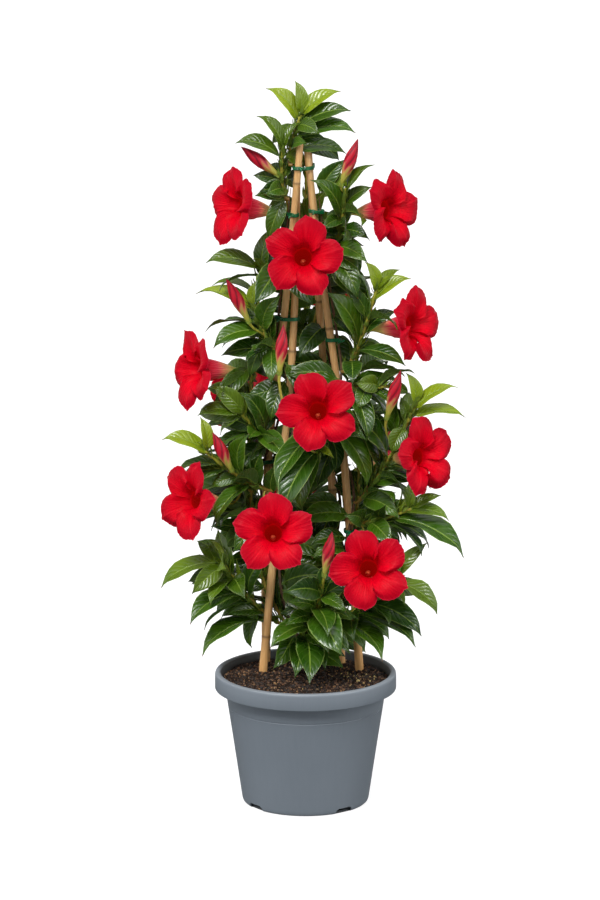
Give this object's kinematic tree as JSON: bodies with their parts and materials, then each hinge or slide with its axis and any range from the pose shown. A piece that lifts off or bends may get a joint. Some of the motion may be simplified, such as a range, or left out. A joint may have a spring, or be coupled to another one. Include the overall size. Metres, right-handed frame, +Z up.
{
  "type": "potted mandevilla",
  "caption": "Climbing mandevilla with red funnel blooms, tied to a pyramid of bamboo canes in a round grey nursery pot.",
  "frame": {"origin": "Middle of the pot's foot, on the surface that the pot stands on.", "axes": "+Z up along the plant, -Y towards the side with the most blooms, +X to the right seen from there."},
  "size_m": [0.3564, 0.2783, 0.841],
  "materials": {
    "pot": "satin",
    "soil": "matte",
    "cane": "satin",
    "tie": "satin",
    "wood": "matte",
    "leaf": "satin",
    "young": "satin",
    "petal": "satin",
    "bud": "satin"
  },
  "bodies": {
    "root": {"pot": "pot", "soil": "soil", "cane_rear_left": "cane", "cane_front_left": "cane", "cane_front_right": "cane", "cane_rear_right": "cane", "woody_stems": "wood", "tie_top": "tie", "tie_upper_left": "tie", "tie_upper_right": "tie", "tie_middle_left": "tie", "tie_middle_right": "tie", "tie_lower_left": "tie", "tie_lower_right": "tie", "bloom_01": "petal", "bloom_02": "petal", "bloom_03": "petal", "bloom_04": "petal", "bloom_05": "petal", "bloom_06": "petal", "bloom_07": "petal", "bloom_08": "petal", "bloom_09": "petal", "bloom_10": "petal", "bloom_11": "petal", "bloom_12": "petal", "bloom_13": "petal", "bloom_14": "petal", "bud_1": "bud", "bud_2": "bud", "bud_3": "bud", "bud_4": "bud", "bud_5": "bud", "bud_6": "bud", "bud_7": "bud", "shoot_crown": "leaf", "shoot_crown_young": "young", "shoot_top_left": "leaf", "shoot_top_right": "leaf", "shoot_upper_right": "leaf", "shoot_upper_right_young": "young", "shoot_upper_left": "leaf", "shoot_upper_left_young": "young", "shoot_left_high": "leaf", "shoot_left_middle": "leaf", "shoot_right_middle": "leaf", "shoot_mid_right": "leaf", "shoot_mid_right_young": "young", "shoot_mid_left": "leaf", "shoot_mid_left_young": "young", "shoot_centre": "leaf", "shoot_low_right": "leaf", "shoot_foot_right": "leaf", "shoot_foot_left": "leaf", "shoot_foot_centre": "leaf", "shoot_rear_low_left": "leaf", "shoot_rear_low_right": "leaf", "shoot_rear_east": "leaf", "shoot_rear_middle": "leaf", "shoot_rear_west": "leaf"}
  },
  "joints": []
}
